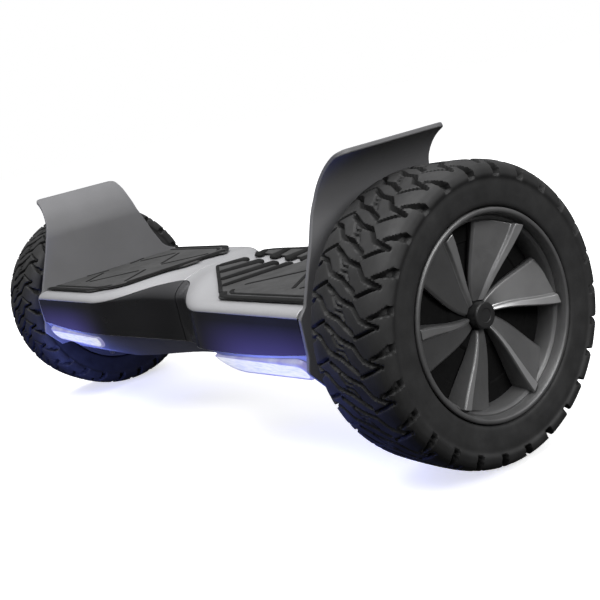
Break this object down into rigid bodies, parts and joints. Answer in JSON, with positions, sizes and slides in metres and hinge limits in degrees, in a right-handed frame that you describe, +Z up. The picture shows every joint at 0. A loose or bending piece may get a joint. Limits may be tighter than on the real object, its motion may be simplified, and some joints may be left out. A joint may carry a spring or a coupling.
{
  "type": "self-balancing two-wheeled board",
  "caption": "Two-wheeled self-balancing board: twisting halves with ribbed foot pads, flared fenders, front lamps and a chunky off-road hub-motor wheel at each end.",
  "frame": {"origin": "floor point midway between the wheels, under the axle", "axes": "+X along the wheel axle towards the right wheel, +Y to the back, +Z up"},
  "size_m": [0.701, 0.2168, 0.2406],
  "materials": {
    "cast_frame": "as-cast satin",
    "steel": "bright",
    "stator": "copper-wound laminations",
    "magnets": "plated",
    "matt_black": "fine moulded texture",
    "gloss_black": "piano gloss",
    "silver_deck": "silver metallic paint",
    "fender_grey": "satin moulded",
    "black_screw": "black oxide",
    "lens": "clear, lit from behind",
    "led_board": "white solder mask",
    "circuit_board": "green solder mask",
    "pad_rubber": "moulded, ribbed",
    "tyre_rubber": "off-road tread",
    "rim_metal": "dark grey satin",
    "hub_black": "satin",
    "battery_wrap": "blue shrink wrap",
    "bracket": "folded sheet",
    "inlet_plastic": "moulded",
    "button_metal": "satin",
    "bush_bronze": "bronze",
    "cable": "cable jacket"
  },
  "bodies": {
    "left_half": {"left_frame": "cast_frame", "left_axle": "steel", "left_axle_clamp": "cast_frame", "left_clamp_screws": "steel", "left_stator": "stator", "left_bottom_shell": "matt_black", "left_front_panel": "gloss_black", "left_rear_panel": "gloss_black", "left_deck_shell": "silver_deck", "left_fender": "fender_grey", "left_shell_screws": "black_screw", "left_headlight_lens": "lens", "left_headlight_board": "led_board", "left_sensor_board": "circuit_board", "left_foot_switches": "circuit_board", "battery_pack": "battery_wrap", "battery_bracket": "bracket", "pivot_tube": "steel", "pivot_ring": "black_screw", "wiring_loom": "cable"},
    "right_half": {"right_frame": "cast_frame", "right_axle": "steel", "right_axle_clamp": "cast_frame", "right_clamp_screws": "steel", "right_stator": "stator", "right_bottom_shell": "matt_black", "right_front_panel": "gloss_black", "right_rear_panel": "gloss_black", "right_deck_shell": "silver_deck", "right_fender": "fender_grey", "right_shell_screws": "black_screw", "right_headlight_lens": "lens", "right_headlight_board": "led_board", "right_sensor_board": "circuit_board", "right_foot_switches": "circuit_board", "main_board": "circuit_board", "charge_inlet": "inlet_plastic", "button_switch": "matt_black", "pivot_bushes": "bush_bronze"},
    "left_wheel": {"left_tyre": "tyre_rubber", "left_rim": "rim_metal", "left_magnet_ring": "magnets", "left_motor_cover": "rim_metal", "left_motor_screws": "steel", "left_hub_cap": "hub_black", "left_bearings": "steel"},
    "right_wheel": {"right_tyre": "tyre_rubber", "right_rim": "rim_metal", "right_magnet_ring": "magnets", "right_motor_cover": "rim_metal", "right_motor_screws": "steel", "right_hub_cap": "hub_black", "right_bearings": "steel"},
    "left_pad": {"left_foot_pad": "pad_rubber"},
    "right_pad": {"right_foot_pad": "pad_rubber"},
    "power_button": {"power_button": "button_metal"},
    "inlet_cap": {"inlet_cap": "pad_rubber"}
  },
  "joints": [
    {"name": "twist", "type": "hinge", "parent": "left_half", "child": "right_half", "pos_m": [0, 0, 0.108], "axis": [1, 0, 0], "range_deg": [-12, 12]},
    {"name": "left_wheel_spin", "type": "hinge", "parent": "left_half", "child": "left_wheel", "pos_m": [-0.31, 0, 0.108], "axis": [1, 0, 0], "continuous": true},
    {"name": "right_wheel_spin", "type": "hinge", "parent": "right_half", "child": "right_wheel", "pos_m": [0.31, 0, 0.108], "axis": [1, 0, 0], "continuous": true},
    {"name": "left_pad_press", "type": "slide", "parent": "left_half", "child": "left_pad", "axis": [0, 0, -1], "range_m": [0, 0.001], "stiffness_N_per_m": 6000, "springref_m": -0.0008},
    {"name": "right_pad_press", "type": "slide", "parent": "right_half", "child": "right_pad", "axis": [0, 0, -1], "range_m": [0, 0.001], "stiffness_N_per_m": 6000, "springref_m": -0.0008},
    {"name": "power_button_press", "type": "slide", "parent": "right_half", "child": "power_button", "axis": [0, -1, 0], "range_m": [0, 0.001], "stiffness_N_per_m": 800, "springref_m": -0.0005},
    {"name": "inlet_cap_hinge", "type": "hinge", "parent": "right_half", "child": "inlet_cap", "pos_m": [0.19, 0.1005, 0.1312], "axis": [1, 0, 0], "range_deg": [0, 110]}
  ]
}
